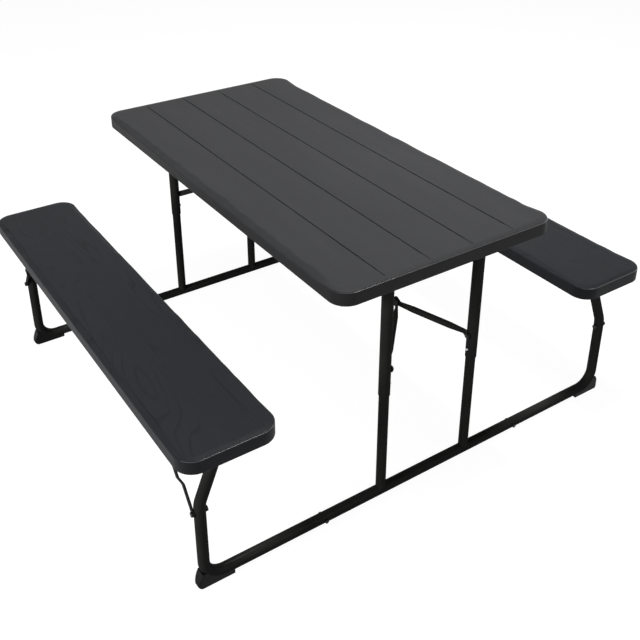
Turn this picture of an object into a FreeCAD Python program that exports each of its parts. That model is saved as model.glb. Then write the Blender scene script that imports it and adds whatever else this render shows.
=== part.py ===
import FreeCAD, Part
import math
import os

# Folding picnic table with two benches, in millimetres.
# +X runs along the table to the near end, +Y to the right bench, +Z up from the floor.
# Each paired piece is drawn at the near right corner and mirrored to the other places.

# Tabletop: a hollow blow-moulded board with a deep rim
table_length = 1372.0
table_width = 686.0
table_height = 749.0
board_rim_depth = 40.0
board_panel_depth = 27.0
board_rim_width = 22.0
board_skin = 3.0
board_corner_radius = 50.0
board_top_round = 5.0
board_bottom_round = 2.0

# Plank grooves in the tabletop
groove_count = 4
groove_width = 4.0
groove_depth = 2.0
groove_end_gap = 17.5

# Moulded dimples that tie the two skins of a board together
dimple_mouth_radius = 16.0
dimple_floor_radius = 9.0
dimple_pitch = 140.0
dimple_end_margin = 150.0
table_dimple_row_shares = (0.24, 0.60)
bench_dimple_row_shares = (0.36,)

# Recess under the tabletop for the folded braces
brace_recess_width = 92.0
brace_recess_depth = 10.0
brace_recess_end_gap = 146.0

# Benches
bench_length = 1386.0
bench_width = 254.0
bench_height = 468.0
bench_offset = 631.0

# Pivot axes lie this far under the top of the table and of the benches
pivot_drop = 59.0
pivot_tube_diameter = 25.4
tube_wall = 1.5
pivot_tube_cap_thickness = 2.0
pivot_tube_cap_overhang = 2.6
bench_pivot_half_length = 66.0

# End frames: telescoping posts on a floor rail, with a bent bench support at each side
leg_inset = 72.0
post_offset = 150.0
upper_post_diameter = 31.8
post_overlap = 50.0
upper_post_lip_depth = 6.0
upper_post_end_round = 2.8
lower_post_diameter = 28.0
post_stop_gap = 4.3
rail_diameter = 30.0
rail_floor_gap = 4.0
rail_joint_offset = 372.0
rail_bolt_offset = 340.0
spigot_length = 70.0
support_offset = 691.0
support_lean_degrees = 22.0
support_lower_bend = 55.0
support_upper_bend = 80.0

# Guide plug in the top of each lower post, and the snap button below it
guide_cap_depth = 8.0
guide_spigot_depth = 5.5
button_drop = 20.0
button_diameter = 8.0
button_proud = 4.1
button_end_round = 1.5
leaf_width = 10.0
leaf_thickness = 1.2
leaf_set_back = 9.6
leaf_length = 58.0
leaf_top_gap = 6.0
leaf_foot_radius = 3.0
leaf_foot_inset = 5.0

# Feet under the bent supports
foot_side_gap = 1.0
foot_heel_length = 77.0
foot_toe_length = 25.0
foot_toe_height = 45.0
foot_toe_lean = 14.0
foot_toe_round = 14.0
foot_plan_round = 12.5

# Folding brace between the posts and the tabletop
brace_pivot_drop = 272.0
brace_anchor_offset = 29.0
brace_anchor_rise = 26.0
brace_pin_diameter = 8.0
arm_tube_diameter = 18.0
arm_tab_thickness = 3.0
arm_tab_width = 20.0
arm_tab_straight = 14.0
arm_taper_length = 32.0
arm_section_flat = 0.4
stud_head_diameter = 15.0
stud_head_depth = 4.4
link_thickness = 5.0
link_depth = 16.0
link_eye_radius = 10.0
hook_wall = 7.0
hook_lip_rise = 5.0
hook_slack = 0.4
hook_flat_run = 10.0
hook_ramp_runs = (20.0, 36.0, 49.0)
hook_ramp_rises = (-3.1, 1.4, 8.0)
knee_pin_head_diameter = 14.0
knee_pin_head_depth = 2.5
anchor_plate_margin = 35.0
anchor_plate_width = 68.0
anchor_plate_thickness = 3.0
anchor_ear_half_width = 13.0
anchor_screw_inset = 10.0

# Steel side rails under the tabletop that hold the pivot tubes
side_rail_inset = 95.0
side_rail_width = 26.0
side_rail_depth = 14.0
side_rail_sheet = 1.5
side_rail_overhang = 30.0
side_rail_ear_thickness = 3.0
side_rail_ear_half_width = 22.0
side_rail_screw_shares = (-0.82, -0.3, 0.3, 0.82)

# Bench brackets: two cheeks with slots that open to the middle of the bench
bracket_half_length = 30.0
bracket_half_width = 64.0
bracket_sheet = 3.0
cheek_offset = 54.0
cheek_half_length = 20.0
bracket_screw_x_share = 0.70
bracket_screw_y_share = 0.55

# Bench struts: jogged flat bars bolted to the supports, with guides under the benches
strut_bolt_drop = 170.0
strut_angle_degrees = 54.0
strut_tip_rise = 21.0
strut_width = 14.0
strut_thickness = 4.0
strut_jog = 8.0
strut_jog_start = 73.0
strut_jog_run = 20.0
strut_bolt_diameter = 8.0
strut_bolt_head_diameter = 14.0
strut_bolt_head_depth = 4.0
guide_inner_width = 6.0
guide_sheet = 1.5
guide_drop = 16.0
guide_lead = 54.0
guide_tail = 32.0
guide_flange = 12.0
guide_screw_inset = 20.0

# Fasteners
screw_diameter = 4.0
screw_head_diameter = 8.5
screw_head_depth = 2.6
screw_grip = 2.6
rail_bolt_diameter = 6.0
rail_bolt_head_diameter = 11.0
rail_bolt_head_depth = 3.0
nut_depth = 5.0
nut_width_share = 1.7

# Clearances and the overrun of every cut
running_clearance = 0.08
side_clearance = 0.4
open_pivot_clearance = 0.3
seat_clearance = 0.1
overrun = 20.0

# Places that follow from the driving sizes
leg_x = table_length / 2 - leg_inset
side_rail_offset = table_width / 2 - side_rail_inset
table_pivot_z = table_height - pivot_drop
bench_pivot_z = bench_height - pivot_drop
lowering = table_height - bench_height
panel_z = table_height - board_panel_depth
bench_panel_z = bench_height - board_panel_depth
recess_z = panel_z + brace_recess_depth
pivot_tube_radius = pivot_tube_diameter / 2
upper_post_radius = upper_post_diameter / 2
lower_post_radius = lower_post_diameter / 2
rail_radius = rail_diameter / 2
rail_z = rail_floor_gap + rail_radius
guide_top_z = table_pivot_z - lowering - pivot_tube_radius - post_stop_gap
upper_post_end_z = guide_top_z - post_overlap
lower_post_top_z = guide_top_z - guide_cap_depth
button_z = guide_top_z - button_drop
button_radius = button_diameter / 2
brace_pin_radius = brace_pin_diameter / 2
strut_bolt_radius = strut_bolt_diameter / 2
brace_pivot_z = table_pivot_z - brace_pivot_drop
strut_bolt_z = bench_pivot_z - strut_bolt_drop

# Brace: straight when the legs are down, and level under the panel when they are folded
anchor_run = leg_x - brace_anchor_offset
brace_rise = brace_pivot_drop + brace_anchor_rise
brace_angle = math.atan2(brace_rise, anchor_run)
brace_span = math.hypot(brace_rise, anchor_run)
folded_run = anchor_run - brace_pivot_drop
link_length = (brace_span**2 - folded_run**2 - brace_anchor_rise**2) / (2 * (brace_span - folded_run))
arm_length = brace_span - link_length
anchor_plate_length = 2 * (brace_anchor_offset + anchor_plate_margin)
anchor_z = table_pivot_z + brace_anchor_rise

# Strut: reaches from its bolt up into the guide under the bench
strut_angle = math.radians(strut_angle_degrees)
strut_length = (strut_bolt_drop + strut_tip_rise) / math.sin(strut_angle)
strut_inner_y = support_offset + rail_radius + side_clearance
strut_folded_reach = math.sqrt(strut_length**2 - strut_tip_rise**2) + strut_bolt_drop
strut_rest_reach = strut_length * math.cos(strut_angle)
guide_y = strut_inner_y + strut_thickness / 2 + strut_jog

X_AXIS = FreeCAD.Vector(1, 0, 0)
Y_AXIS = FreeCAD.Vector(0, 1, 0)
Z_AXIS = FreeCAD.Vector(0, 0, 1)
ORIGIN = FreeCAD.Vector(0, 0, 0)


def point(x, y, z):
    return FreeCAD.Vector(x, y, z)


def rod(radius, start, end):
    return Part.makeCylinder(radius, (end - start).Length, start, end - start)


def block(low, high):
    size = high - low
    return Part.makeBox(size.x, size.y, size.z, low)


def prism(points, sweep):
    outline = Part.makePolygon(points + points[:1])
    return Part.Face(outline).extrude(sweep)


def fused(shapes):
    return shapes[0].multiFuse(shapes[1:]).removeSplitter()


def mirrored_x(shape):
    return shape.mirror(ORIGIN, X_AXIS)


def mirrored_y(shape):
    return shape.mirror(ORIGIN, Y_AXIS)


def hexagon_nut(width, depth, start, direction):
    corner_radius = width / math.sqrt(3)
    side = direction.cross(Z_AXIS)
    corners = []
    for step in range(6):
        turn = math.radians(60 * step)
        corners.append(start + side * (corner_radius * math.cos(turn)) + Z_AXIS * (corner_radius * math.sin(turn)))
    return prism(corners, direction * depth)


def dome_head(diameter, depth, start, direction):
    head = Part.makeCylinder(diameter / 2, depth, start, direction)
    rim = [edge for edge in head.Edges if abs((edge.CenterOfMass - start).dot(direction) - depth) < seat_clearance]
    return head.makeFillet(depth / 2, [edge for edge in rim if edge.Closed][:1])


# Moulded boards

def rounded_plate(length, width, corner, low_z, high_z):
    plate = block(point(-length / 2, -width / 2, low_z), point(length / 2, width / 2, high_z))
    upright = [edge for edge in plate.Edges if abs(edge.tangentAt(edge.FirstParameter).z) > 0.5]
    return plate.makeFillet(corner, upright)


def edges_at_height(shape, z):
    return [
        edge
        for edge in shape.Edges
        if abs(edge.BoundBox.ZMin - z) < seat_clearance and abs(edge.BoundBox.ZMax - z) < seat_clearance
    ]


def dimple_places(length, width, row_shares):
    reach = length / 2 - dimple_end_margin
    columns = int(2 * reach / dimple_pitch)
    places = []
    for share in row_shares:
        for side in (-1, 1):
            for column in range(columns + 1):
                x = -reach + 2 * reach * column / columns
                places.append((x, side * share * width / 2))
    return places


def moulded_board(length, width, top_z, row_shares):
    panel = top_z - board_panel_depth
    board = rounded_plate(length, width, board_corner_radius, top_z - board_rim_depth, top_z)
    board = board.makeFillet(board_top_round, edges_at_height(board, top_z))
    board = board.makeFillet(board_bottom_round, edges_at_height(board, top_z - board_rim_depth))
    pocket = rounded_plate(
        length - 2 * board_rim_width,
        width - 2 * board_rim_width,
        board_corner_radius - board_rim_width,
        top_z - board_rim_depth - overrun,
        panel,
    )
    hollow = rounded_plate(
        length - 2 * board_top_round,
        width - 2 * board_top_round,
        board_corner_radius - board_top_round,
        panel + board_skin,
        top_z - board_skin,
    )
    ring = rounded_plate(
        length - 2 * board_top_round,
        width - 2 * board_top_round,
        board_corner_radius - board_top_round,
        top_z - board_rim_depth + board_skin,
        panel + board_skin,
    )
    inner_wall = board_rim_width - board_skin
    ring = ring.cut(
        rounded_plate(
            length - 2 * inner_wall,
            width - 2 * inner_wall,
            board_corner_radius - inner_wall,
            top_z - board_rim_depth,
            panel + overrun,
        )
    )
    mouths = []
    pillars = []
    dimple_height = board_panel_depth - 2 * board_skin
    for x, y in dimple_places(length, width, row_shares):
        place = point(x, y, panel)
        mouths.append(Part.makeCone(dimple_mouth_radius, dimple_floor_radius, dimple_height, place))
        pillars.append(
            Part.makeCone(
                dimple_mouth_radius + board_skin,
                dimple_floor_radius + board_skin,
                dimple_height + board_skin,
                place,
            )
        )
    hollow = hollow.fuse(ring).removeSplitter().cut(Part.makeCompound(pillars))
    board = board.cut(pocket).cut(Part.makeCompound(mouths))
    return board, hollow


def plank_groove(y):
    half = table_length / 2 - groove_end_gap
    floor_z = table_height - groove_depth
    radius = groove_width / 2
    middle = block(point(-half, y - radius, floor_z), point(half, y + radius, table_height + overrun))
    ends = [rod(radius, point(end, y, floor_z), point(end, y, table_height + overrun)) for end in (-half, half)]
    return fused([middle] + ends)


def brace_recess(grow):
    half = table_length / 2 - brace_recess_end_gap + grow
    side = brace_recess_width / 2 + grow
    return block(point(-half, -side, panel_z - overrun), point(half, side, recess_z + grow))


def tabletop():
    board, hollow = moulded_board(table_length, table_width, table_height, table_dimple_row_shares)
    plank = table_width / (groove_count + 1)
    for index in range(groove_count):
        board = board.cut(plank_groove(plank * (index + 1) - table_width / 2))
    hollow = hollow.cut(brace_recess(board_skin))
    return board.cut(brace_recess(0)).cut(hollow)


def bench_top():
    board, hollow = moulded_board(bench_length, bench_width, bench_height, bench_dimple_row_shares)
    seat = board.cut(hollow)
    seat.translate(point(0, bench_offset, 0))
    return seat


# Screws with the head below a sheet and the shank up into the board

def screw(x, y, sheet_under_z, sheet_top_z):
    head = dome_head(screw_head_diameter, screw_head_depth, point(x, y, sheet_under_z), Z_AXIS * -1)
    shank = rod(screw_diameter / 2, point(x, y, sheet_under_z), point(x, y, sheet_top_z + screw_grip))
    return fused([head, shank])


def screw_holes(places, low_z, high_z):
    radius = screw_diameter / 2 + running_clearance
    return Part.makeCompound([rod(radius, point(x, y, low_z), point(x, y, high_z)) for x, y in places])


# Side rails under the tabletop

def side_rail_screw_places():
    return [(share * leg_x, side_rail_offset) for share in side_rail_screw_shares]


def side_rail():
    half = leg_x + side_rail_overhang
    inner_y = side_rail_offset - side_rail_width / 2
    outer_y = side_rail_offset + side_rail_width / 2
    low_z = panel_z - side_rail_depth
    channel = block(point(-half, inner_y, low_z), point(half, outer_y, panel_z))
    inside = block(
        point(-half - overrun, inner_y + side_rail_sheet, low_z - overrun),
        point(half + overrun, outer_y - side_rail_sheet, panel_z - side_rail_sheet),
    )
    rail = channel.cut(inside)
    ear_y = outer_y - side_rail_ear_thickness
    for end in (-1, 1):
        ear_x = end * leg_x
        plate = block(
            point(ear_x - side_rail_ear_half_width, ear_y, table_pivot_z),
            point(ear_x + side_rail_ear_half_width, outer_y, panel_z),
        )
        tip = rod(side_rail_ear_half_width, point(ear_x, ear_y, table_pivot_z), point(ear_x, outer_y, table_pivot_z))
        hole = rod(
            pivot_tube_radius + running_clearance,
            point(ear_x, ear_y - overrun, table_pivot_z),
            point(ear_x, outer_y + overrun, table_pivot_z),
        )
        rail = fused([rail, plate, tip]).cut(hole)
    return rail.cut(screw_holes(side_rail_screw_places(), low_z, panel_z + overrun))


# Anchor in the middle of the tabletop that both folding braces hang from

def anchor_screw_places():
    x = anchor_plate_length / 2 - anchor_screw_inset
    y = anchor_plate_width / 2 - anchor_screw_inset
    return [(sx * x, sy * y) for sx in (-1, 1) for sy in (-1, 1)]


def brace_anchor():
    under_z = recess_z - anchor_plate_thickness
    plate = block(
        point(-anchor_plate_length / 2, -anchor_plate_width / 2, under_z),
        point(anchor_plate_length / 2, anchor_plate_width / 2, recess_z),
    )
    pieces = [plate]
    gap = link_thickness / 2 + side_clearance
    for x in (-brace_anchor_offset, brace_anchor_offset):
        for side in (-1, 1):
            faces = sorted((side * gap, side * (gap + anchor_plate_thickness)))
            pieces.append(
                block(
                    point(x - anchor_ear_half_width, faces[0], anchor_z),
                    point(x + anchor_ear_half_width, faces[1], under_z),
                )
            )
            pieces.append(rod(anchor_ear_half_width, point(x, faces[0], anchor_z), point(x, faces[1], anchor_z)))
    anchor = fused(pieces)
    for x in (-brace_anchor_offset, brace_anchor_offset):
        reach = gap + anchor_plate_thickness + overrun
        anchor = anchor.cut(rod(brace_pin_radius, point(x, -reach, anchor_z), point(x, reach, anchor_z)))
    return anchor.cut(screw_holes(anchor_screw_places(), under_z - overrun, recess_z + overrun))


def anchor_pin(x):
    half = link_thickness / 2 + side_clearance + anchor_plate_thickness
    shank = rod(brace_pin_radius, point(x, -half, anchor_z), point(x, half, anchor_z))
    heads = [
        dome_head(stud_head_diameter, stud_head_depth, point(x, side * half, anchor_z), Y_AXIS * side)
        for side in (-1, 1)
    ]
    return fused([shank] + heads)


def tabletop_fasteners():
    solids = []
    for x, y in side_rail_screw_places():
        solids.append(screw(x, y, panel_z - side_rail_sheet, panel_z))
        solids.append(screw(x, -y, panel_z - side_rail_sheet, panel_z))
    for x, y in anchor_screw_places():
        solids.append(screw(x, y, recess_z - anchor_plate_thickness, recess_z))
    for x in (-brace_anchor_offset, brace_anchor_offset):
        solids.append(anchor_pin(x))
    return Part.makeCompound(solids)


# Upper legs: a pivot tube with two posts welded under it

def capped_pivot_tube(start, end):
    along = end - start
    along.normalize()
    outside = rod(pivot_tube_radius, start, end)
    inset = along * pivot_tube_cap_thickness
    inside = rod(pivot_tube_radius - tube_wall, start + inset, end - inset)
    return outside.cut(inside)


def table_pivot_tube():
    ear_face = side_rail_offset + side_rail_width / 2
    half = ear_face + side_clearance
    tube = capped_pivot_tube(point(leg_x, -half, table_pivot_z), point(leg_x, half, table_pivot_z))
    caps = [
        Part.makeCylinder(
            pivot_tube_radius + pivot_tube_cap_overhang,
            pivot_tube_cap_thickness,
            point(leg_x, side * half, table_pivot_z),
            Y_AXIS * side,
        )
        for side in (-1, 1)
    ]
    return fused([tube] + caps)


def pivot_tube_space():
    return rod(
        pivot_tube_radius,
        point(leg_x, -table_width / 2, table_pivot_z),
        point(leg_x, table_width / 2, table_pivot_z),
    )


def button_hole(z):
    axis_y = post_offset
    return rod(
        button_radius + running_clearance,
        point(leg_x, axis_y, z),
        point(leg_x, axis_y - upper_post_radius - overrun, z),
    )


def upper_post():
    top = point(leg_x, post_offset, table_pivot_z)
    bottom = point(leg_x, post_offset, upper_post_end_z)
    outside = rod(upper_post_radius, bottom, top)
    outside = outside.makeFillet(upper_post_end_round, edges_at_height(outside, upper_post_end_z))
    lip_top = bottom + Z_AXIS * upper_post_lip_depth
    bore = rod(upper_post_radius - tube_wall, lip_top, top + Z_AXIS * overrun)
    throat = rod(lower_post_radius + running_clearance, bottom - Z_AXIS * overrun, lip_top)
    post = outside.cut(fused([bore, throat])).cut(pivot_tube_space())
    post = post.cut(button_hole(button_z)).cut(button_hole(button_z + lowering))
    return post.cut(brace_stud_shank())


def brace_stud_shank():
    face_y = post_offset - upper_post_radius
    tip_y = face_y - side_clearance * 2 - arm_tab_thickness
    return rod(
        brace_pin_radius,
        point(leg_x, tip_y, brace_pivot_z),
        point(leg_x, face_y + tube_wall, brace_pivot_z),
    )


def brace_stud():
    shank = brace_stud_shank()
    tip_y = shank.BoundBox.YMin
    head = dome_head(stud_head_diameter, stud_head_depth, point(leg_x, tip_y, brace_pivot_z), Y_AXIS * -1)
    return fused([shank, head])


# Lower frame: floor rail, lower posts, bent bench supports and feet

def rail_bolt_hole(radius):
    start = point(leg_x - rail_radius - overrun, rail_bolt_offset, rail_z)
    end = point(leg_x + rail_radius + overrun, rail_bolt_offset, rail_z)
    return rod(radius, start, end)


def centre_rail():
    start = point(leg_x, -rail_joint_offset, rail_z)
    end = point(leg_x, rail_joint_offset, rail_z)
    along = Y_AXIS * overrun
    rail = rod(rail_radius, start, end).cut(rod(rail_radius - tube_wall, start - along, end + along))
    hole = rail_bolt_hole(rail_bolt_diameter / 2)
    return rail.cut(hole).cut(mirrored_y(hole))


def lower_post():
    foot = point(leg_x, post_offset, rail_z)
    top = point(leg_x, post_offset, lower_post_top_z)
    post = rod(lower_post_radius, foot, top).cut(rod(lower_post_radius - tube_wall, foot, top + Z_AXIS * overrun))
    rail_space = rod(
        rail_radius,
        point(leg_x, post_offset - overrun, rail_z),
        point(leg_x, post_offset + overrun, rail_z),
    )
    return post.cut(rail_space).cut(button_hole(button_z))


def post_guide():
    axis = point(leg_x, post_offset, lower_post_top_z)
    cap_radius = upper_post_radius - tube_wall - side_clearance / 2
    cap = rod(cap_radius, axis, axis + Z_AXIS * guide_cap_depth)
    plug_radius = lower_post_radius - tube_wall
    plug = rod(plug_radius, axis - Z_AXIS * guide_spigot_depth, axis)
    return fused([cap, plug])


def snap_button():
    tip_y = post_offset - upper_post_radius - button_proud
    leaf_y = post_offset - leaf_set_back
    pin = rod(button_radius, point(leg_x, leaf_y, button_z), point(leg_x, tip_y, button_z))
    tip_edges = [edge for edge in pin.Edges if edge.Closed and abs(edge.CenterOfMass.y - tip_y) < seat_clearance]
    pin = pin.makeFillet(button_end_round, tip_edges)
    leaf_top = button_z + leaf_top_gap
    leaf_bottom = leaf_top - leaf_length
    leaf = block(
        point(leg_x - leaf_width / 2, leaf_y, leaf_bottom),
        point(leg_x + leaf_width / 2, leaf_y + leaf_thickness, leaf_top),
    )
    foot_z = leaf_bottom + leaf_foot_inset
    bore_radius = lower_post_radius - tube_wall
    foot_reach = math.sqrt(bore_radius**2 - leaf_foot_radius**2)
    foot_end = point(leg_x, post_offset - foot_reach, foot_z)
    return fused([pin, leaf, rod(leaf_foot_radius, point(leg_x, leaf_y, foot_z), foot_end)])


def support_path(start_y):
    lean = math.radians(support_lean_degrees)
    rise = (support_offset - bench_offset) / math.tan(lean)
    knee_z = bench_pivot_z - rise
    knee_cut = support_upper_bend * math.tan(lean / 2)
    half_turn = math.sin(math.radians(45))
    low_centre = point(leg_x, support_offset - support_lower_bend, rail_z + support_lower_bend)
    low_start = point(leg_x, low_centre.y, rail_z)
    low_middle = low_centre + (Y_AXIS - Z_AXIS) * (support_lower_bend * half_turn)
    low_end = point(leg_x, support_offset, low_centre.z)
    high_start = point(leg_x, support_offset, knee_z - knee_cut)
    high_centre = high_start - Y_AXIS * support_upper_bend
    half = lean / 2
    high_middle = high_centre + (Y_AXIS * math.cos(half) + Z_AXIS * math.sin(half)) * support_upper_bend
    high_end = high_centre + (Y_AXIS * math.cos(lean) + Z_AXIS * math.sin(lean)) * support_upper_bend
    top = point(leg_x, bench_offset, bench_pivot_z)
    return Part.Wire(
        [
            Part.LineSegment(point(leg_x, start_y, rail_z), low_start).toShape(),
            Part.Arc(low_start, low_middle, low_end).toShape(),
            Part.LineSegment(low_end, high_start).toShape(),
            Part.Arc(high_start, high_middle, high_end).toShape(),
            Part.LineSegment(high_end, top).toShape(),
        ]
    )


def swept_rod(path, radius, start, direction):
    profile = Part.Wire([Part.makeCircle(radius, start, direction)])
    return path.makePipeShell([profile], True, False)


def support_outside():
    start = point(leg_x, rail_joint_offset, rail_z)
    return swept_rod(support_path(rail_joint_offset), rail_radius, start, Y_AXIS)


def bench_support():
    start = point(leg_x, rail_joint_offset, rail_z)
    outside = support_outside()
    spigot_start = start - Y_AXIS * spigot_length
    spigot_radius = rail_radius - tube_wall - seat_clearance
    spigot = rod(spigot_radius, spigot_start, start)
    inside = swept_rod(support_path(rail_joint_offset), rail_radius - tube_wall, start, Y_AXIS)
    spigot_bore = rod(spigot_radius - tube_wall, spigot_start - Y_AXIS * overrun, start + Y_AXIS * tube_wall)
    collar = rod(rail_radius, start, start + Y_AXIS * tube_wall)
    tube = fused([outside.cut(inside), collar, spigot]).cut(spigot_bore)
    pivot_space = rod(
        pivot_tube_radius,
        point(leg_x, bench_offset - bench_pivot_half_length, bench_pivot_z),
        point(leg_x, bench_offset + bench_pivot_half_length, bench_pivot_z),
    )
    tube = tube.cut(pivot_space).cut(rail_bolt_hole(rail_bolt_diameter / 2))
    bolt_reach = rail_radius + overrun
    bolt_hole = rod(
        strut_bolt_radius,
        point(leg_x, support_offset - bolt_reach, strut_bolt_z),
        point(leg_x, support_offset + bolt_reach, strut_bolt_z),
    )
    return tube.cut(bolt_hole)


def bench_pivot_tube():
    half = Y_AXIS * bench_pivot_half_length
    middle = point(leg_x, bench_offset, bench_pivot_z)
    return capped_pivot_tube(middle - half, middle + half)


def foot():
    foot_width = rail_diameter - 2 * foot_side_gap
    near_x = leg_x - foot_width / 2
    heel_y = support_offset - foot_heel_length
    toe_y = support_offset + foot_toe_length
    bend_y = support_offset - support_lower_bend
    bend_z = rail_z + support_lower_bend
    turn = math.acos((bend_z - foot_toe_height) / support_lower_bend)

    def corner(y, z):
        return point(near_x, y, z)

    def on_bend(angle):
        return corner(bend_y + support_lower_bend * math.sin(angle), bend_z - support_lower_bend * math.cos(angle))

    toe_share = 1 - math.sin(math.radians(45))
    toe_start = corner(toe_y - foot_toe_round, 0)
    toe_middle = corner(toe_y - foot_toe_round * toe_share, foot_toe_round * toe_share)
    toe_end = corner(toe_y, foot_toe_round)
    toe_top = corner(toe_y - foot_toe_lean, foot_toe_height)
    outline = [
        Part.LineSegment(corner(heel_y, 0), toe_start).toShape(),
        Part.Arc(toe_start, toe_middle, toe_end).toShape(),
        Part.LineSegment(toe_end, toe_top).toShape(),
        Part.LineSegment(toe_top, on_bend(turn)).toShape(),
        Part.Arc(on_bend(turn), on_bend(turn / 2), on_bend(0)).toShape(),
        Part.LineSegment(on_bend(0), corner(heel_y, rail_z)).toShape(),
        Part.LineSegment(corner(heel_y, rail_z), corner(heel_y, 0)).toShape(),
    ]
    shoe = Part.Face(Part.Wire(outline)).extrude(X_AXIS * foot_width)
    plan = block(
        point(near_x, heel_y - overrun, 0),
        point(near_x + foot_width, toe_y, foot_toe_height + overrun),
    )
    toe_edges = [
        edge
        for edge in plan.Edges
        if abs(edge.tangentAt(edge.FirstParameter).z) > 0.5 and edge.CenterOfMass.y > support_offset
    ]
    return shoe.common(plan.makeFillet(foot_plan_round, toe_edges)).cut(support_outside())


def rail_bolt():
    radius = rail_bolt_diameter / 2
    inner = point(leg_x - rail_radius, rail_bolt_offset, rail_z)
    outer = point(leg_x + rail_radius, rail_bolt_offset, rail_z)
    shank = rod(radius, inner, outer + X_AXIS * nut_depth)
    head = dome_head(rail_bolt_head_diameter, rail_bolt_head_depth, inner, X_AXIS * -1)
    nut = hexagon_nut(rail_bolt_diameter * nut_width_share, nut_depth, outer, X_AXIS)
    return fused([shank, head, nut])


def strut_bolt():
    inner = point(leg_x, support_offset - rail_radius, strut_bolt_z)
    outer = point(leg_x, strut_inner_y + strut_thickness + side_clearance, strut_bolt_z)
    shank = rod(strut_bolt_radius, inner - Y_AXIS * nut_depth, outer)
    head = dome_head(strut_bolt_head_diameter, strut_bolt_head_depth, outer, Y_AXIS)
    nut = hexagon_nut(strut_bolt_diameter * nut_width_share, nut_depth, inner, Y_AXIS * -1)
    return fused([shank, head, nut])


# Bench fittings

def bracket_screw_places():
    x = bracket_half_length * bracket_screw_x_share
    y = bracket_half_width * bracket_screw_y_share
    return [(leg_x + sx * x, bench_offset + sy * y) for sx in (-1, 1) for sy in (-1, 1)]


def bench_bracket():
    under_z = bench_panel_z - bracket_sheet
    pieces = [
        block(
            point(leg_x - bracket_half_length, bench_offset - bracket_half_width, under_z),
            point(leg_x + bracket_half_length, bench_offset + bracket_half_width, bench_panel_z),
        )
    ]
    for side in (-1, 1):
        low_y = bench_offset + side * cheek_offset - bracket_sheet / 2
        high_y = low_y + bracket_sheet
        pieces.append(
            block(
                point(leg_x - cheek_half_length, low_y, bench_pivot_z),
                point(leg_x + cheek_half_length, high_y, bench_panel_z),
            )
        )
        pieces.append(
            rod(cheek_half_length, point(leg_x, low_y, bench_pivot_z), point(leg_x, high_y, bench_pivot_z))
        )
    slot_radius = pivot_tube_radius + open_pivot_clearance
    low_y = bench_offset - bracket_half_width - overrun
    high_y = bench_offset + bracket_half_width + overrun
    seat = rod(slot_radius, point(leg_x, low_y, bench_pivot_z), point(leg_x, high_y, bench_pivot_z))
    mouth = block(
        point(leg_x - cheek_half_length - overrun, low_y, bench_pivot_z - slot_radius),
        point(leg_x, high_y, bench_pivot_z + slot_radius),
    )
    bracket = fused(pieces).cut(fused([seat, mouth]))
    return bracket.cut(screw_holes(bracket_screw_places(), under_z - overrun, bench_panel_z + overrun))


def guide_ends():
    return leg_x - strut_folded_reach - guide_tail, leg_x - strut_rest_reach + guide_lead


def guide_screw_places():
    low_x, high_x = guide_ends()
    y = guide_y + guide_inner_width / 2 + guide_sheet + guide_flange / 2
    return [(low_x + guide_screw_inset, y), (high_x - guide_screw_inset, y)]


def strut_guide():
    low_x, high_x = guide_ends()
    half = guide_inner_width / 2 + guide_sheet
    low_z = bench_pivot_z + guide_drop
    channel = block(point(low_x, guide_y - half, low_z), point(high_x, guide_y + half, bench_panel_z))
    inside = block(
        point(low_x - overrun, guide_y - guide_inner_width / 2, low_z - overrun),
        point(high_x + overrun, guide_y + guide_inner_width / 2, bench_panel_z - guide_sheet),
    )
    flange = block(
        point(low_x, guide_y + half - guide_sheet, bench_panel_z - guide_sheet),
        point(high_x, guide_y + half + guide_flange, bench_panel_z),
    )
    guide = fused([channel.cut(inside), flange])
    return guide.cut(screw_holes(guide_screw_places(), low_z, bench_panel_z + overrun))


def bench_screws():
    solids = []
    for x, y in bracket_screw_places():
        solids.append(screw(x, y, bench_panel_z - bracket_sheet, bench_panel_z))
    for x, y in guide_screw_places():
        solids.append(screw(x, y, bench_panel_z - guide_sheet, bench_panel_z))
    return solids


# Flat bars are drawn along X from their pivot, then turned up to their angle towards the middle

def turned_inward(shape, pivot_z, angle):
    shape.rotate(ORIGIN, Y_AXIS, math.degrees(angle))
    shape = shape.mirror(ORIGIN, X_AXIS)
    shape.translate(point(leg_x, 0, pivot_z))
    return shape


def rounded_bar_ends(length, width, low_y, high_y):
    radius = width / 2
    middle = block(point(0, low_y, -radius), point(length, high_y, radius))
    ends = [rod(radius, point(end, low_y, 0), point(end, high_y, 0)) for end in (0, length)]
    return fused([middle] + ends)


def strut():
    inner = strut_inner_y
    outer = strut_inner_y + strut_thickness
    radius = strut_width / 2
    jog_end = strut_jog_start + strut_jog_run
    side_points = [
        (-radius, inner),
        (strut_jog_start, inner),
        (jog_end, inner + strut_jog),
        (strut_length + radius, inner + strut_jog),
        (strut_length + radius, outer + strut_jog),
        (jog_end, outer + strut_jog),
        (strut_jog_start, outer),
        (-radius, outer),
    ]
    bar = prism([point(s, y, -radius) for s, y in side_points], Z_AXIS * strut_width)
    bar = bar.common(rounded_bar_ends(strut_length, strut_width, inner, outer + strut_jog))
    bar = bar.cut(rod(strut_bolt_radius + running_clearance, point(0, inner, 0), point(0, outer, 0)))
    return turned_inward(bar, strut_bolt_z, -strut_angle)


def flattened_section(middle, across, width, thickness):
    radius = thickness / 2
    side = across * radius
    crown = Z_AXIS * radius
    top = middle + Z_AXIS * ((width - thickness) / 2)
    bottom = middle - Z_AXIS * ((width - thickness) / 2)
    outline = [
        Part.LineSegment(bottom - side, top - side).toShape(),
        Part.Arc(top - side, top + crown, top + side).toShape(),
        Part.LineSegment(top + side, bottom + side).toShape(),
        Part.Arc(bottom + side, bottom - crown, bottom - side).toShape(),
    ]
    return Part.Wire(outline)


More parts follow.
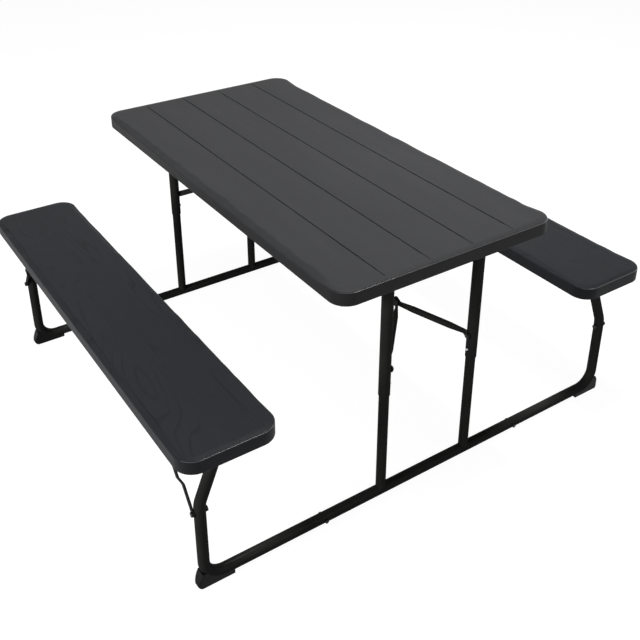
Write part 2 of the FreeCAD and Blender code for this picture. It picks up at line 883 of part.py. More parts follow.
def brace_arm():
    post_face = post_offset - upper_post_radius - side_clearance
    post_y = post_face - arm_tab_thickness / 2
    knee_y = link_thickness / 2 + side_clearance + arm_tab_thickness / 2
    half_tab = arm_tab_thickness / 2
    slope = (knee_y - post_y) / (arm_length - 2 * arm_tab_straight)

    lean = math.atan(slope)
    tube_across = point(-math.sin(lean), math.cos(lean), 0)

    def on_axis(s):
        return point(s, post_y + slope * (s - arm_tab_straight), 0)

    round_width = arm_tube_diameter + arm_section_flat
    first = arm_tab_straight + arm_taper_length
    last = arm_length - first
    sections = [
        flattened_section(on_axis(arm_tab_straight), Y_AXIS, arm_tab_width, arm_tab_thickness),
        flattened_section(on_axis(first), tube_across, round_width, arm_tube_diameter),
        flattened_section(on_axis(last), tube_across, round_width, arm_tube_diameter),
        flattened_section(on_axis(arm_length - arm_tab_straight), Y_AXIS, arm_tab_width, arm_tab_thickness),
    ]
    pieces = [Part.makeLoft(sections, True, True)]
    for end, s_low, s_high, y in (
        (0, 0, arm_tab_straight, post_y),
        (arm_length, arm_length - arm_tab_straight, arm_length, knee_y),
    ):
        pieces.append(rod(arm_tab_width / 2, point(end, y - half_tab, 0), point(end, y + half_tab, 0)))
        pieces.append(
            block(point(s_low, y - half_tab, -arm_tab_width / 2), point(s_high, y + half_tab, arm_tab_width / 2))
        )
    arm = fused(pieces)
    hole = brace_pin_radius + running_clearance
    for end, y, radius in ((0, post_y, hole), (arm_length, knee_y, brace_pin_radius)):
        arm = arm.cut(rod(radius, point(end, y - overrun / 2, 0), point(end, y + overrun / 2, 0)))
    return turned_inward(arm, brace_pivot_z, -brace_angle)


def knee_pin():
    half = link_thickness / 2 + side_clearance + arm_tab_thickness
    shank = rod(brace_pin_radius, point(arm_length, -half, 0), point(arm_length, half, 0))
    heads = [
        dome_head(knee_pin_head_diameter, knee_pin_head_depth, point(arm_length, side * half, 0), Y_AXIS * side)
        for side in (-1, 1)
    ]
    return turned_inward(fused([shank] + heads), brace_pivot_z, -brace_angle)


def brace_link():
    pin_room = brace_pin_radius + hook_slack
    outer = pin_room + hook_wall
    half = link_depth / 2
    low_y = -link_thickness / 2
    profile = [(-outer, hook_lip_rise), (-outer, -pin_room), (-pin_room, -outer), (pin_room, -outer)]
    profile += [(hook_ramp_runs[-1], -half), (link_length, -half), (link_length, half)]
    ramp = list(zip(hook_ramp_runs, hook_ramp_rises))
    profile += [(run, rise) for run, rise in reversed(ramp)]
    profile += [(hook_flat_run, -pin_room), (0, -pin_room), (0, hook_lip_rise)]
    points = [point(arm_length + s, low_y, n) for s, n in profile]
    plate = prism(points, Y_AXIS * link_thickness)
    eye_end = arm_length + link_length
    eye = rod(link_eye_radius, point(eye_end, low_y, 0), point(eye_end, -low_y, 0))
    pin_seat = rod(pin_room, point(arm_length, low_y - overrun, 0), point(arm_length, overrun, 0))
    throat = block(
        point(arm_length - pin_room, low_y - overrun, 0),
        point(arm_length, overrun, hook_lip_rise + overrun),
    )
    link = fused([plate, eye]).cut(pin_seat).cut(throat)
    pin_hole = rod(brace_pin_radius + running_clearance, point(eye_end, low_y - overrun, 0), point(eye_end, overrun, 0))
    return turned_inward(link.cut(pin_hole), brace_pivot_z, -brace_angle)


def save(name, shape):
    shape.exportStep("parts/" + name + ".step")


def save_corners(piece_name, shape):
    for end, at_far in (("near", False), ("far", True)):
        ended = mirrored_x(shape) if at_far else shape
        save(end + "_right_" + piece_name, ended)
        save(end + "_left_" + piece_name, mirrored_y(ended))


def save_ends(piece_name, shape):
    save("near_" + piece_name, shape)
    save("far_" + piece_name, mirrored_x(shape))


def save_sides(piece_name, shape):
    save("right_" + piece_name, shape)
    save("left_" + piece_name, mirrored_y(shape))


def both_sides(shape):
    return Part.makeCompound([shape, mirrored_y(shape)])


def both_ends(shapes):
    return Part.makeCompound(shapes + [mirrored_x(shape) for shape in shapes])


os.makedirs("parts", exist_ok=True)

save("tabletop", tabletop())
save_sides("side_rail", side_rail())
save("brace_anchor", brace_anchor())
save("tabletop_fasteners", tabletop_fasteners())

save_ends("table_pivot_tube", table_pivot_tube())
save_corners("upper_post", upper_post())
save_ends("brace_studs", both_sides(brace_stud()))

save_ends("centre_rail", centre_rail())
save_corners("lower_post", lower_post())
save_corners("bench_support", bench_support())
save_corners("bench_pivot_tube", bench_pivot_tube())
save_corners("foot", foot())
save_ends("post_guides", both_sides(post_guide()))
base_bolts = [rail_bolt(), strut_bolt()]
save_ends("base_bolts", Part.makeCompound(base_bolts + [mirrored_y(bolt) for bolt in base_bolts]))
save_corners("snap_button", snap_button())

save_corners("brace_arm", brace_arm())
save_ends("knee_pin", knee_pin())
save_ends("brace_link", brace_link())

save_sides("bench_top", bench_top())
save_sides("bench_brackets", both_ends([bench_bracket()]))
save_sides("strut_guides", both_ends([strut_guide()]))
save_sides("bench_screws", both_ends(bench_screws()))
save_corners("bench_strut", strut())
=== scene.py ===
import math

import bmesh
import bpy
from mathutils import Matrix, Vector, noise


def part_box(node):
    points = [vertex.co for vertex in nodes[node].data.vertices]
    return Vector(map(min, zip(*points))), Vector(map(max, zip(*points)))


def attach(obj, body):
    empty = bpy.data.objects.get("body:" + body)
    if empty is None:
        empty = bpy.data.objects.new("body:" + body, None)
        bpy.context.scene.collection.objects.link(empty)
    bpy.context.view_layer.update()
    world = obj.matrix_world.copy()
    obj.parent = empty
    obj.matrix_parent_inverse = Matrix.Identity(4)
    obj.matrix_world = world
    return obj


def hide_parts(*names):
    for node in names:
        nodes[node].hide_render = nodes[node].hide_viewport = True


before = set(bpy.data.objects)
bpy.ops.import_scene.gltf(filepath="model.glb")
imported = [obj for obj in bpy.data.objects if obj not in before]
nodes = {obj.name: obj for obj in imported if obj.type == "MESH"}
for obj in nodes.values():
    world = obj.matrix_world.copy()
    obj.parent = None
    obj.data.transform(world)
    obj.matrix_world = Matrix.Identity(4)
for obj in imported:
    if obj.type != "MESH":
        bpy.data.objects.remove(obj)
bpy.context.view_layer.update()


# Tabletop: a hollow board blow-moulded in charcoal polyethylene to look like five planks.
# Its long edges fall away in an uneven chamfer like hewn timber, and its ends in a shallow band.
# The underside is a sunk panel inside the rim, tied to the top by rows of dimples.
BOARD_CORNER = 0.050
BOARD_RIM_DEPTH = 0.040
BOARD_RIM_WIDTH = 0.022
BOARD_PANEL_DEPTH = 0.027
BAND_WIDTH = 0.014
BAND_DROP = 0.0022
EDGE_ROUND = 0.0038
CREASE_ROUND = 0.0025
RIM_ROUND = 0.002
CORNER_SEGMENTS = 14
EDGE_SEGMENTS = 8
CREASE_SEGMENTS = 2
RIM_SEGMENTS = 3
SMOOTH_DEGREES = 32
FLAT_FACING = 0.9
SKIRT_PICK_SHARE = 0.8
SLICE_PITCH = 0.0125
TABLE_GROOVES = 4
GROOVE_WIDTH = 0.0040
GROOVE_DEPTH = 0.0020
GROOVE_END_GAP = 0.0175
HEWN_INSET = 0.004
HEWN_WAVE = 0.0032
TABLE_HEWN_DROP = 0.0068
HEWN_DROP_WAVE = 0.0009
HEWN_CUT = 0.036
HEWN_FLAT_SHARE = 0.55
HEWN_DRIFT_PITCH = 7.0
HEWN_ROW_PITCH = 3.0
HEWN_DROP_ROW = 0.5
HEWN_FADE = 0.060
DIMPLE_MOUTH = 0.016
DIMPLE_FLOOR = 0.009
DIMPLE_ROOF = 0.006
DIMPLE_SIDES = 28
DIMPLE_PITCH = 0.140
DIMPLE_END_MARGIN = 0.150
TABLE_DIMPLE_ROWS = (0.24, 0.60)
BRACE_RECESS_LENGTH = 1.080
BRACE_RECESS_WIDTH = 0.092
BRACE_RECESS_DEPTH = 0.010
CUT_OVERRUN = 0.004
TOUCH = 0.0002


def node_box(node):
    low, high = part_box(node)
    return Vector(low), Vector(high)


def start_cube(name, low, high):
    bpy.ops.object.select_all(action="DESELECT")
    bpy.ops.mesh.primitive_cube_add(size=1, location=(low + high) / 2)
    piece = bpy.context.object
    piece.name = name
    piece.scale = high - low
    bpy.ops.object.transform_apply(location=True, rotation=True, scale=True)
    return piece


def pick_faces(test):
    bpy.ops.mesh.select_mode(type="FACE")
    bpy.ops.mesh.select_all(action="DESELECT")
    mesh = bmesh.from_edit_mesh(bpy.context.edit_object.data)
    for face in mesh.faces:
        face.select_set(test(face.calc_center_median(), face.normal))
    bmesh.update_edit_mesh(bpy.context.edit_object.data)


def pick_edges(test):
    bpy.ops.mesh.select_mode(type="EDGE")
    bpy.ops.mesh.select_all(action="DESELECT")
    mesh = bmesh.from_edit_mesh(bpy.context.edit_object.data)
    for edge in mesh.edges:
        edge.select_set(test(edge.verts[0].co, edge.verts[1].co))
    bmesh.update_edit_mesh(bpy.context.edit_object.data)


def near(value, target):
    return abs(value - target) < TOUCH


def both_at_height(a, b, z):
    return near(a.z, z) and near(b.z, z)


def from_side(point, middle, high):
    return high.y - middle.y - abs(point.y - middle.y)


def from_end(point, high):
    return high.x - abs(point.x)


def on_crease(point, middle, high):
    in_band = from_side(point, middle, high) < BAND_WIDTH + TOUCH
    return in_band or from_end(point, high) < BOARD_CORNER + TOUCH


def crosses_board(a, b, high):
    return near(a.x, b.x) and not near(a.y, b.y) and from_end(a, high) > BAND_WIDTH + TOUCH


def on_skirt(point, middle, high):
    inward = min(from_side(point, middle, high), from_end(point, high))
    return inward < BOARD_RIM_WIDTH * SKIRT_PICK_SHARE


def mould_blank():
    pick_edges(lambda a, b: abs(a.z - b.z) > BOARD_RIM_DEPTH / 2)
    bpy.ops.mesh.bevel(offset=BOARD_CORNER, segments=CORNER_SEGMENTS, affect="EDGES")
    pick_faces(lambda centre, normal: normal.z > FLAT_FACING)
    bpy.ops.mesh.inset(thickness=BAND_WIDTH, depth=BAND_DROP)
    pick_faces(lambda centre, normal: normal.z < -FLAT_FACING)
    bpy.ops.mesh.inset(thickness=BOARD_RIM_WIDTH, depth=0)
    sunk = BOARD_RIM_DEPTH - BOARD_PANEL_DEPTH
    bpy.ops.mesh.extrude_region_move(TRANSFORM_OT_translate={"value": (0, 0, sunk)})


def slice_and_groove(low, high, groove_count):
    straight = high.x - BOARD_CORNER
    slices = int(2 * straight / SLICE_PITCH)
    stations = [-straight + 2 * straight * step / slices for step in range(slices + 1)]
    groove_end = high.x - GROOVE_END_GAP
    if groove_count:
        stations = [-groove_end] + stations + [groove_end]
    for x in stations:
        bpy.ops.mesh.select_all(action="SELECT")
        bpy.ops.mesh.bisect(plane_co=(x, 0, 0), plane_no=(1, 0, 0))
    if not groove_count:
        return
    plank = (high.y - low.y) / (groove_count + 1)
    lines = [low.y + plank * (step + 1) for step in range(groove_count)]
    for line in lines:
        for side in (-1, 1):
            pick_faces(lambda centre, normal: near(centre.z, high.z))
            edge = line + side * GROOVE_WIDTH / 2
            bpy.ops.mesh.bisect(plane_co=(0, edge, 0), plane_no=(0, 1, 0))
    pick_faces(
        lambda centre, normal: near(centre.z, high.z)
        and abs(centre.x) < groove_end
        and min(abs(centre.y - line) for line in lines) < GROOVE_WIDTH / 2
    )
    bpy.ops.mesh.extrude_region_move(TRANSFORM_OT_translate={"value": (0, 0, -GROOVE_DEPTH)})


def round_edges(low, middle, high):
    pick_edges(
        lambda a, b: both_at_height(a, b, high.z)
        and on_crease(a, middle, high)
        and on_crease(b, middle, high)
        and not crosses_board(a, b, high)
    )
    bpy.ops.mesh.bevel(offset=CREASE_ROUND, segments=CREASE_SEGMENTS, affect="EDGES")
    pick_edges(lambda a, b: both_at_height(a, b, high.z - BAND_DROP))
    bpy.ops.mesh.bevel(offset=EDGE_ROUND, segments=EDGE_SEGMENTS, affect="EDGES")
    pick_edges(lambda a, b: both_at_height(a, b, low.z) and on_skirt(a, middle, high))
    bpy.ops.mesh.bevel(offset=RIM_ROUND, segments=RIM_SEGMENTS, affect="EDGES")


def hewn_wave(x, row):
    stroke = x / HEWN_CUT + noise.noise(Vector((x * HEWN_DRIFT_PITCH, row, 0)))
    step = math.floor(stroke)
    turn = max(0.0, (stroke - step - HEWN_FLAT_SHARE) / (1 - HEWN_FLAT_SHARE))
    cell_middle = step + 0.5
    this_cut = noise.cell(Vector((cell_middle, row, 0)))
    next_cut = noise.cell(Vector((cell_middle + 1, row, 0)))
    return this_cut + (next_cut - this_cut) * turn


def hew_long_edges(board, middle, high, hewn_drop):
    mesh = bmesh.from_edit_mesh(board.data)
    for vert in mesh.verts:
        side = vert.co.y - middle.y
        inward = from_side(vert.co, middle, high)
        fade = min(1.0, max(0.0, (from_end(vert.co, high) - BOARD_CORNER) / HEWN_FADE))
        below = vert.co.z < high.z - BOARD_RIM_DEPTH / 2
        if below or inward > BAND_WIDTH + CREASE_ROUND or fade == 0:
            continue
        row = HEWN_ROW_PITCH * middle.y + math.copysign(1, side)
        shift = (HEWN_INSET + HEWN_WAVE * hewn_wave(vert.co.x, row)) * inward / BAND_WIDTH
        drop = hewn_drop + HEWN_DROP_WAVE * hewn_wave(vert.co.x, row + HEWN_DROP_ROW)
        vert.co.y -= math.copysign(shift * fade, side)
        vert.co.z -= drop * fade * max(0.0, 1 - inward / BAND_WIDTH)
    bmesh.update_edit_mesh(board.data)


def moulded_board(name, node, groove_count, hewn_drop):
    low, high = node_box(node)
    middle = (low + high) / 2
    board = start_cube(name, low, Vector((high.x, high.y, high.z - BAND_DROP)))
    bpy.ops.object.mode_set(mode="EDIT")
    mould_blank()
    slice_and_groove(low, high, groove_count)
    round_edges(low, middle, high)
    hew_long_edges(board, middle, high, hewn_drop)
    bpy.ops.object.mode_set(mode="OBJECT")
    return board


def cut_by(piece, cutter):
    bpy.context.view_layer.objects.active = piece
    cut = piece.modifiers.new("cut", "BOOLEAN")
    cut.operation = "DIFFERENCE"
    cut.solver = "EXACT"
    cut.object = cutter
    bpy.ops.object.modifier_apply(modifier=cut.name)
    bpy.data.objects.remove(cutter, do_unlink=True)


def sink_dimples(board, node, rows):
    low, high = node_box(node)
    middle = (low + high) / 2
    panel = high.z - BOARD_PANEL_DEPTH
    depth = BOARD_PANEL_DEPTH - DIMPLE_ROOF
    reach = (high.x - low.x) / 2 - DIMPLE_END_MARGIN
    columns = int(2 * reach / DIMPLE_PITCH)
    bpy.ops.object.select_all(action="DESELECT")
    cones = []
    for share in rows:
        for side in (-1, 1):
            y = middle.y + side * share * (high.y - low.y) / 2
            for column in range(columns + 1):
                x = -reach + 2 * reach * column / columns
                bpy.ops.mesh.primitive_cone_add(
                    vertices=DIMPLE_SIDES,
                    radius1=DIMPLE_MOUTH,
                    radius2=DIMPLE_FLOOR,
                    depth=depth + CUT_OVERRUN,
                    location=(x, y, panel + (depth - CUT_OVERRUN) / 2),
                )
                cones.append(bpy.context.object)
    for cone in cones:
        cone.select_set(True)
    bpy.ops.object.join()
    cut_by(board, bpy.context.object)


def smooth_board(piece):
    bpy.ops.object.select_all(action="DESELECT")
    piece.select_set(True)
    bpy.context.view_layer.objects.active = piece
    bpy.ops.object.shade_smooth_by_angle(angle=math.radians(SMOOTH_DEGREES))
    even = piece.modifiers.new("even_normals", "WEIGHTED_NORMAL")
    even.keep_sharp = True
    bpy.ops.object.modifier_apply(modifier=even.name)


UNSTRETCHED = (1.0, 1.0, 1.0)
CLOUD_STRETCH = (1.2, 4.0, 4.0)
CLOUD_SCALE = 3.0
CLOUD_DETAIL = 3.0
CLOUD_DARK = 0.86
CLOUD_LIGHT = 1.16
STREAK_STRETCH = (6.0, 170.0, 170.0)
STREAK_SCALE = 1.0
STREAK_DETAIL = 4.0
STREAK_ROUGHNESS = 0.6
STREAK_STRENGTH = 0.28
PEBBLE_SCALE = 900.0
PEBBLE_DETAIL = 2.0
PEBBLE_STRENGTH = 0.10
PEBBLE_HEIGHT = 0.0003
FIBRE_STRENGTH = 0.20
FIBRE_HEIGHT = 0.0005
FIGURE_STRETCH = (0.9, 7.0, 7.0)
FIGURE_DETAIL = 1.0
GRAIN_RINGS = 16.0
LINE_HEIGHT = 0.0008
LINE_WIDTH_SHARE = 0.25
SHADE_PATCH_START = 0.38
SHADE_PATCH_FULL = 0.56
FACE_ROUGHNESS_LOW = 0.44
FACE_ROUGHNESS_HIGH = 0.60
FACE_SPECULAR = 0.10
EDGE_SLOPE = 0.60
EDGE_SLOPE_SPREAD = 0.26
END_SLOPE = 0.48
EDGE_ROUGHNESS = 0.18
EDGE_SPECULAR = 1.00
PLANK_SHADE = (0.0350, 0.0355, 0.0375)
PLANK_LINE_DEPTH = 0.22
PLANK_FIGURE_SCALE = 1.6
PLANK_LINE_PAINTED_SHADE = 0.95


def add_node(tree, kind, values=None, links=None, **settings):
    node = tree.nodes.new("ShaderNode" + kind)
    for key, value in settings.items():
        setattr(node, key, value)
    for socket, value in (values or {}).items():
        node.inputs[socket].default_value = value
    for socket, source in (links or {}).items():
        tree.links.new(source, node.inputs[socket])
    return node


def start_material(name):
    material = bpy.data.materials.new(name)
    material.use_nodes = True
    return material, material.node_tree, material.node_tree.nodes["Principled BSDF"]


def toned(shade, share):
    return (*[channel * share for channel in shade], 1)


def grain_plastic(name, shade, line_depth, figure_scale, line_painted_shade):
    material, tree, shader = start_material(name)
    place = add_node(tree, "TexCoord")

    def grain(stretch, **values):
        mapping = add_node(tree, "Mapping", {"Scale": stretch}, {"Vector": place.outputs["Object"]})
        return add_node(tree, "TexNoise", values, {"Vector": mapping.outputs["Vector"]}).outputs["Fac"]

    cloud = grain(CLOUD_STRETCH, Scale=CLOUD_SCALE, Detail=CLOUD_DETAIL)
    streak = grain(STREAK_STRETCH, Scale=STREAK_SCALE, Detail=STREAK_DETAIL, Roughness=STREAK_ROUGHNESS)
    pebble = grain(UNSTRETCHED, Scale=PEBBLE_SCALE, Detail=PEBBLE_DETAIL)
    figure = grain(FIGURE_STRETCH, Scale=figure_scale, Detail=FIGURE_DETAIL)
    rings = add_node(tree, "Math", {1: GRAIN_RINGS}, {0: figure}, operation="MULTIPLY")
    arches = add_node(tree, "Math", links={0: rings.outputs["Value"]}, operation="FRACT")

    # The colour clouds over slowly and is streaked along the board. In patches it is darkened along the
    # grain lines with painted shade of their raised relief.
    tint = add_node(
        tree,
        "Mix",
        {"A": toned(shade, CLOUD_DARK), "B": toned(shade, CLOUD_LIGHT)},
        {"Factor": cloud},
        data_type="RGBA",
    )
    streaked = add_node(
        tree,
        "Mix",
        {"Factor": STREAK_STRENGTH},
        {"A": tint.outputs["Result"], "B": streak},
        data_type="RGBA",
        blend_type="MULTIPLY",
    )
    # Painted shade: in patches, each grain line is darkened in the base colour as the shade of its raised
    # relief.
    line_shade_patches = add_node(
        tree,
        "MapRange",
        {"From Min": SHADE_PATCH_START, "From Max": SHADE_PATCH_FULL, "To Min": 1.0, "To Max": line_painted_shade},
        {"Value": cloud},
    )
    painted_line_shade = add_node(
        tree,
        "MapRange",
        {"From Max": LINE_WIDTH_SHARE},
        {"To Min": line_shade_patches.outputs["Result"], "Value": arches.outputs["Value"]},
    )
    figured_with_shade = add_node(
        tree,
        "Mix",
        {"Factor": 1.0},
        {"A": streaked.outputs["Result"], "B": painted_line_shade.outputs["Result"]},
        data_type="RGBA",
        blend_type="MULTIPLY",
    )
    tree.links.new(figured_with_shade.outputs["Result"], shader.inputs["Base Color"])

    # The rounded edges of the two ends come smoother out of the mould than the rest.
    slope = add_node(tree, "SeparateXYZ", links={"Vector": place.outputs["Normal"]})
    rounded = add_node(
        tree, "Math", {1: EDGE_SLOPE, 2: EDGE_SLOPE_SPREAD}, {0: slope.outputs["Z"]}, operation="COMPARE"
    )
    endward = add_node(tree, "Math", links={0: slope.outputs["X"]}, operation="ABSOLUTE")
    at_end = add_node(
        tree, "Math", {1: END_SLOPE}, {0: endward.outputs["Value"]}, operation="GREATER_THAN"
    )
    both = add_node(
        tree, "Math", links={0: rounded.outputs["Value"], 1: at_end.outputs["Value"]}, operation="MULTIPLY"
    )
    on_edge = both.outputs["Value"]
    grained = add_node(
        tree, "MapRange", {"To Min": FACE_ROUGHNESS_LOW, "To Max": FACE_ROUGHNESS_HIGH}, {"Value": streak}
    )
    gloss = add_node(
        tree, "Mix", {"B": EDGE_ROUGHNESS}, {"Factor": on_edge, "A": grained.outputs["Result"]}
    )
    tree.links.new(gloss.outputs["Result"], shader.inputs["Roughness"])
    sheen = add_node(
        tree, "MapRange", {"To Min": FACE_SPECULAR, "To Max": EDGE_SPECULAR}, {"Value": on_edge}
    )
    tree.links.new(sheen.outputs["Result"], shader.inputs["Specular IOR Level"])

    # Grain lines, fibres and a fine pebble are raised on the faces and absent on those edges.
    lines = add_node(
        tree,
        "Bump",
        {"Strength": line_depth, "Distance": LINE_HEIGHT},
        {"Height": arches.outputs["Value"]},
    )
    fibres = add_node(
        tree,
        "Bump",
        {"Strength": FIBRE_STRENGTH, "Distance": FIBRE_HEIGHT},
        {"Height": streak, "Normal": lines.outputs["Normal"]},
    )
    skin = add_node(
        tree,
        "Bump",
        {"Strength": PEBBLE_STRENGTH, "Distance": PEBBLE_HEIGHT},
        {"Height": pebble, "Normal": fibres.outputs["Normal"]},
    )
    plain = add_node(tree, "NewGeometry")
    facing = add_node(
        tree,
        "Mix",
        links={"Factor": on_edge, "A": skin.outputs["Normal"], "B": plain.outputs["Normal"]},
        data_type="VECTOR",
    )
    tree.links.new(facing.outputs["Result"], shader.inputs["Normal"])
    return material


def wear(piece, material):
    piece.data.materials.clear()
    piece.data.materials.append(material)


tabletop = moulded_board("tabletop_board", "tabletop", TABLE_GROOVES, TABLE_HEWN_DROP)
sink_dimples(tabletop, "tabletop", TABLE_DIMPLE_ROWS)
table_panel = node_box("tabletop")[1].z - BOARD_PANEL_DEPTH
recess_half = Vector((BRACE_RECESS_LENGTH / 2, BRACE_RECESS_WIDTH / 2, 0))
recess = start_cube(
    "recess_cutter",
    Vector((0, 0, table_panel - CUT_OVERRUN)) - recess_half,
    Vector((0, 0, table_panel + BRACE_RECESS_DEPTH)) + recess_half,
)
cut_by(tabletop, recess)
smooth_board(tabletop)
charcoal_planks = grain_plastic(
    "charcoal_planks", PLANK_SHADE, PLANK_LINE_DEPTH, PLANK_FIGURE_SCALE, PLANK_LINE_PAINTED_SHADE
)
wear(tabletop, charcoal_planks)
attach(tabletop, "table")
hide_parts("tabletop")


# Steel frame: round and flat steel, welded and bent, then powder coated in semi-gloss black.
# The side rails, pivot tubes, posts, floor tubes, supports, braces, brackets and struts
# all get the same coat, which is a little uneven, like the skin of an orange.
FRAME_PIECES = (
    "side_rail",
    "brace_anchor",
    "pivot_tube",
    "upper_post",
    "lower_post",
    "centre_rail",
    "bench_support",
    "brace_arm",
    "brace_link",
    "bench_brackets",
    "strut_guides",
    "bench_strut",
)
PEEL_SCALE = 700.0
PEEL_DETAIL = 2.0
PEEL_HEIGHT = 0.0002
HANDLING_SCALE = 14.0
HANDLING_DETAIL = 4.0
HANDLED_DARK = 0.75
HANDLED_LIGHT = 1.3
COAT_SHADE = (0.0340, 0.0340, 0.0326)
COAT_ROUGHNESS = (0.40, 0.52)
COAT_PEEL = 0.05
COAT_SPECULAR = 0.0
CLEAR_COAT_WEIGHT = 0.05
CLEAR_COAT_ROUGHNESS = 0.20


def hard_finish(name, shade, roughness, peel, specular):
    material, tree, shader = start_material(name)
    place = add_node(tree, "TexCoord").outputs["Object"]
    skin = add_node(tree, "TexNoise", {"Scale": PEEL_SCALE, "Detail": PEEL_DETAIL}, {"Vector": place})
    handling = add_node(
        tree, "TexNoise", {"Scale": HANDLING_SCALE, "Detail": HANDLING_DETAIL}, {"Vector": place}
    )
    tint = add_node(
        tree,
        "Mix",
        {"A": toned(shade, HANDLED_DARK), "B": toned(shade, HANDLED_LIGHT)},
        {"Factor": handling.outputs["Fac"]},
        data_type="RGBA",
    )
    tree.links.new(tint.outputs["Result"], shader.inputs["Base Color"])
    low, high = roughness
    gloss = add_node(
        tree, "MapRange", {"To Min": low, "To Max": high}, {"Value": handling.outputs["Fac"]}
    )
    tree.links.new(gloss.outputs["Result"], shader.inputs["Roughness"])
    bump = add_node(
        tree, "Bump", {"Strength": peel, "Distance": PEEL_HEIGHT}, {"Height": skin.outputs["Fac"]}
    )
    tree.links.new(bump.outputs["Normal"], shader.inputs["Normal"])
    shader.inputs["Specular IOR Level"].default_value = specular
    return material


def finish_nodes(pieces, material):
    for name, node in nodes.items():
        if any(piece in name for piece in pieces):
            wear(node, material)


black_coat = hard_finish("black_powder_coat", COAT_SHADE, COAT_ROUGHNESS, COAT_PEEL, COAT_SPECULAR)
coat_shader = black_coat.node_tree.nodes["Principled BSDF"]
coat_shader.inputs["Coat Weight"].default_value = CLEAR_COAT_WEIGHT
coat_shader.inputs["Coat Roughness"].default_value = CLEAR_COAT_ROUGHNESS
finish_nodes(FRAME_PIECES, black_coat)


# Fasteners: black plated screws, bolts, nuts and rivets with rounded heads.
# They fix the rails and brackets to the boards and pin the moving bars.
FASTENER_PIECES = ("fasteners", "bench_screws", "base_bolts", "brace_studs", "knee_pin")
PLATE_SHADE = (0.0060, 0.0060, 0.0064)
PLATE_ROUGHNESS = (0.26, 0.40)
PLATE_PEEL = 0.05
PLATE_SPECULAR = 0.22
black_plate = hard_finish(
    "black_plated_steel", PLATE_SHADE, PLATE_ROUGHNESS, PLATE_PEEL, PLATE_SPECULAR
)
finish_nodes(FASTENER_PIECES, black_plate)


# Feet and post guides: injection moulded in black plastic, pressed on and in.
# Their skin is more pebbled than the coat of the tubes.
PLASTIC_PIECES = ("_foot", "post_guides")
FOOT_SHADE = (0.0045, 0.0045, 0.0048)
FOOT_ROUGHNESS = (0.36, 0.52)
FOOT_PEEL = 0.20
FOOT_SPECULAR = 0.08
foot_plastic = hard_finish("black_foot_plastic", FOOT_SHADE, FOOT_ROUGHNESS, FOOT_PEEL, FOOT_SPECULAR)
finish_nodes(PLASTIC_PIECES, foot_plastic)


# Snap buttons: round heads on leaf springs, made of spring steel and zinc plated.
# Each sits inside a lower post and springs out through a hole of the upper post.
BUTTON_PIECES = ("snap_button",)
ZINC_SHADE = (0.52, 0.52, 0.53)
ZINC_ROUGHNESS = (0.24, 0.40)
ZINC_PEEL = 0.04
ZINC_SPECULAR = 0.5
spring_steel = hard_finish("zinc_spring_steel", ZINC_SHADE, ZINC_ROUGHNESS, ZINC_PEEL, ZINC_SPECULAR)
spring_steel.node_tree.nodes["Principled BSDF"].inputs["Metallic"].default_value = 1.0
finish_nodes(BUTTON_PIECES, spring_steel)


# Bench seats: hollow boards moulded like the tabletop, a shade darker and without planks.
# The mould leaves patches of arched grain, and painted shade darkens each line of it.
BENCH_GROOVES = 0
BENCH_HEWN_DROP = 0.0030
BENCH_DIMPLE_ROWS = (0.36,)
SEAT_SHADE = (0.0202, 0.0217, 0.0250)
SEAT_LINE_DEPTH = 0.30
SEAT_FIGURE_SCALE = 1.6
SEAT_LINE_PAINTED_SHADE = 0.70
dark_seat = grain_plastic(
    "dark_charcoal_seat", SEAT_SHADE, SEAT_LINE_DEPTH, SEAT_FIGURE_SCALE, SEAT_LINE_PAINTED_SHADE
)
for side in ("left", "right"):
    seat_node = side + "_bench_top"
    seat = moulded_board(side + "_bench_board", seat_node, BENCH_GROOVES, BENCH_HEWN_DROP)
    sink_dimples(seat, seat_node, BENCH_DIMPLE_ROWS)
    smooth_board(seat)
    wear(seat, dark_seat)
    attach(seat, side + "_bench")
    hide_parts(seat_node)


# Studio: a plain white floor, a white surround that darkens overhead, and soft lamps.
# The floor is lifted to white where the camera or a reflection sees it, and keeps a faint shadow.
# The camera stands at the photograph's viewing angle.
FLOOR_SIZE = 60.0
FLOOR_LIFT = 0.955
FLOOR_REFLECTANCE = 0.20
FLOOR_ROUGHNESS = 0.9
WHITE = (1, 1, 1, 1)


def seen_by_eye(tree):
    rays = add_node(tree, "LightPath").outputs
    direct = add_node(
        tree, "Math", links={0: rays["Is Camera Ray"], 1: rays["Is Glossy Ray"]}, operation="ADD"
    )
    through = add_node(
        tree,
        "Math",
        links={0: direct.outputs["Value"], 1: rays["Is Transmission Ray"]},
        operation="ADD",
        use_clamp=True,
    )
    return through.outputs["Value"]


bpy.ops.object.select_all(action="DESELECT")
bpy.ops.mesh.primitive_plane_add(size=FLOOR_SIZE, location=(0, 0, 0))
floor = bpy.context.object
floor.name = "studio_floor"
pale, pale_tree, pale_shader = start_material("pale_floor")
pale_shader.inputs["Base Color"].default_value = toned(WHITE[:3], FLOOR_REFLECTANCE)
pale_shader.inputs["Roughness"].default_value = FLOOR_ROUGHNESS
pale_shader.inputs["Specular IOR Level"].default_value = 0.0
lift = add_node(pale_tree, "Math", {1: FLOOR_LIFT}, {0: seen_by_eye(pale_tree)}, operation="MULTIPLY")
glow = add_node(pale_tree, "Emission", {"Color": WHITE}, {"Strength": lift.outputs["Value"]})
lifted = add_node(
    pale_tree, "AddShader", links={0: pale_shader.outputs["BSDF"], 1: glow.outputs["Emission"]}
)
pale_tree.links.new(lifted.outputs["Shader"], pale_tree.nodes["Material Output"].inputs["Surface"])
wear(floor, pale)

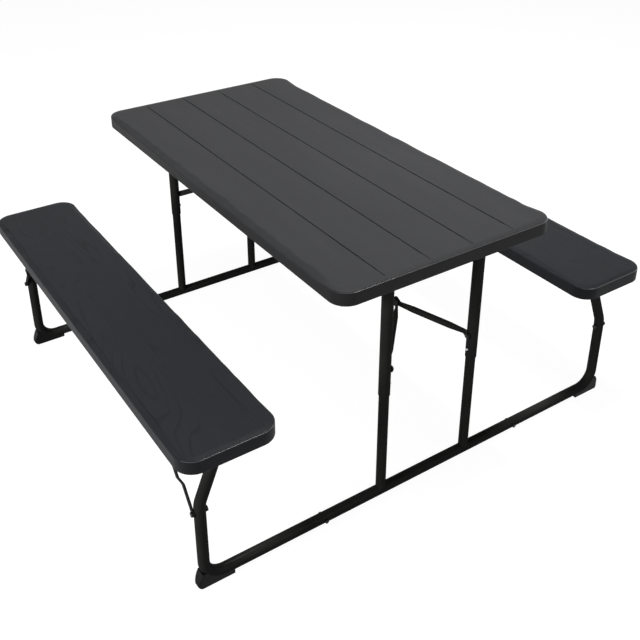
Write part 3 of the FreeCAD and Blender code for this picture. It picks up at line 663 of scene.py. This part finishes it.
SKY_FILL = 0.06
SKY_WHITE = 1.0
SKY_OVERHEAD = 0.12
SKY_FADE_START = 0.40
SKY_FADE_END = 0.72
world = bpy.data.worlds.new("white_surround")
bpy.context.scene.world = world
world.use_nodes = True
sky_tree = world.node_tree
sky_place = add_node(sky_tree, "TexCoord")
sky_axes = add_node(sky_tree, "SeparateXYZ", links={"Vector": sky_place.outputs["Generated"]})
sky_level = add_node(
    sky_tree,
    "MapRange",
    {
        "From Min": SKY_FADE_START,
        "From Max": SKY_FADE_END,
        "To Min": SKY_WHITE,
        "To Max": SKY_OVERHEAD,
    },
    {"Value": sky_axes.outputs["Z"]},
    interpolation_type="SMOOTHSTEP",
)
sky_part = add_node(
    sky_tree, "MapRange", {"To Min": SKY_FILL, "To Max": SKY_WHITE}, {"Value": seen_by_eye(sky_tree)}
)
sky_strength = add_node(
    sky_tree,
    "Math",
    links={0: sky_level.outputs["Result"], 1: sky_part.outputs["Result"]},
    operation="MULTIPLY",
)
sky = sky_tree.nodes["Background"]
sky.inputs["Color"].default_value = WHITE
sky_tree.links.new(sky_strength.outputs["Value"], sky.inputs["Strength"])


def soft_lamp(name, place, aim, width, height, power):
    lamp = bpy.data.lights.new(name, "AREA")
    lamp.shape = "RECTANGLE"
    lamp.size = width
    lamp.size_y = height
    lamp.energy = power
    holder = bpy.data.objects.new(name, lamp)
    bpy.context.scene.collection.objects.link(holder)
    holder.location = place
    holder.rotation_euler = (Vector(aim) - Vector(place)).to_track_quat("-Z", "Y").to_euler()


soft_lamp("key_box", place=(0.2, 0.3, 3.3), aim=(0.2, 0.0, 0.6), width=0.8, height=0.9, power=88)
soft_lamp("left_box", place=(0.3, -3.9, 1.6), aim=(0.2, -0.3, 0.4), width=1.6, height=1.6, power=72)
soft_lamp("near_strip", place=(3.15, 0.7, 2.1), aim=(0.6, -0.3, 0.2), width=1.6, height=0.15, power=12)
soft_lamp("back_box", place=(-2.4, 3.0, 2.7), aim=(0.0, 0.0, 0.4), width=1.6, height=1.2, power=7)

CAMERA_PLACE = (2.0970, -1.3427, 1.8544)
CAMERA_ELEVATION = 26.544
CAMERA_AZIMUTH = 56.207
CAMERA_FOCAL_PIXELS = 912.7
CAMERA_SHIFT_PIXELS = -120.0
IMAGE_PIXELS = 640
SENSOR_WIDTH = 36.0
camera_data = bpy.data.cameras.new("photo_camera")
camera = bpy.data.objects.new("photo_camera", camera_data)
bpy.context.scene.collection.objects.link(camera)
camera.location = CAMERA_PLACE
camera.rotation_euler = (math.radians(90 - CAMERA_ELEVATION), 0, math.radians(CAMERA_AZIMUTH))
camera_data.sensor_width = SENSOR_WIDTH
camera_data.lens = CAMERA_FOCAL_PIXELS / IMAGE_PIXELS * SENSOR_WIDTH
camera_data.shift_y = CAMERA_SHIFT_PIXELS / IMAGE_PIXELS
bpy.context.scene.camera = camera
bpy.context.scene.view_settings.view_transform = "Standard"
